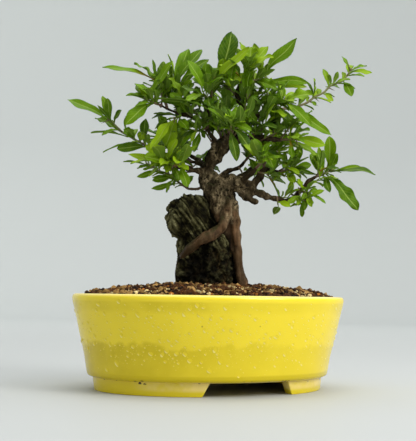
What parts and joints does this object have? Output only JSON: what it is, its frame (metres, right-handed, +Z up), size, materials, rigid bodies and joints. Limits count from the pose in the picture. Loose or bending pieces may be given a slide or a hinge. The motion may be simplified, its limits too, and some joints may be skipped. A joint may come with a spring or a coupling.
{
  "type": "firethorn bonsai",
  "caption": "Small firethorn tree with broad evergreen leaves, its roots clasping a dark stone, planted in grit in an oval glazed pot on low feet.",
  "frame": {"origin": "middle of the whole model's bounding box, seen from above, at the bottom of the pot's feet; the pot's own middle lies 9.3 mm from it towards -X", "axes": "+X along the pot's long side, towards the right for someone who stands in front of the pot; +Y towards the back; +Z up"},
  "size_m": [0.24, 0.1822, 0.2887],
  "materials": {
    "glaze": "glossy lemon-yellow glaze",
    "screen": "dark plastic mesh",
    "soil": "loose brown grit of baked clay, pumice and bark",
    "stone": "rough dark stone with pale streaks",
    "bark": "rough mottled grey-brown bark",
    "leaf": "satin green leaf with a paler underside"
  },
  "bodies": {
    "root": {"pot": "glaze", "drain_screen_left": "screen", "drain_screen_right": "screen", "soil": "soil", "stone": "stone", "trunk": "bark", "shoot_crown_top": "leaf", "shoot_crown_left": "leaf", "shoot_crown_right": "leaf", "shoot_crown_far": "leaf", "shoot_upper_left": "leaf", "shoot_left_upper": "leaf", "shoot_left_tip": "leaf", "shoot_far_left": "leaf", "shoot_left_front": "leaf", "shoot_left_hanging": "leaf", "shoot_left_inner": "leaf", "shoot_low_left": "leaf", "shoot_right_main": "leaf", "shoot_right_tip": "leaf", "shoot_right_middle": "leaf", "shoot_right_low": "leaf", "shoot_right_bottom": "leaf", "shoot_right_inner": "leaf", "shoot_middle_right": "leaf", "shoot_front": "leaf", "shoot_front_right": "leaf", "shoot_back": "leaf", "shoot_back_upper": "leaf", "shoot_back_left": "leaf", "shoot_back_low": "leaf", "shoot_back_right": "leaf", "shoot_back_middle": "leaf", "shoot_upper_middle": "leaf", "shoot_curved": "leaf", "shoot_upright": "leaf", "shoot_middle": "leaf", "shoot_middle_far": "leaf", "shoot_left_back": "leaf"}
  },
  "joints": []
}
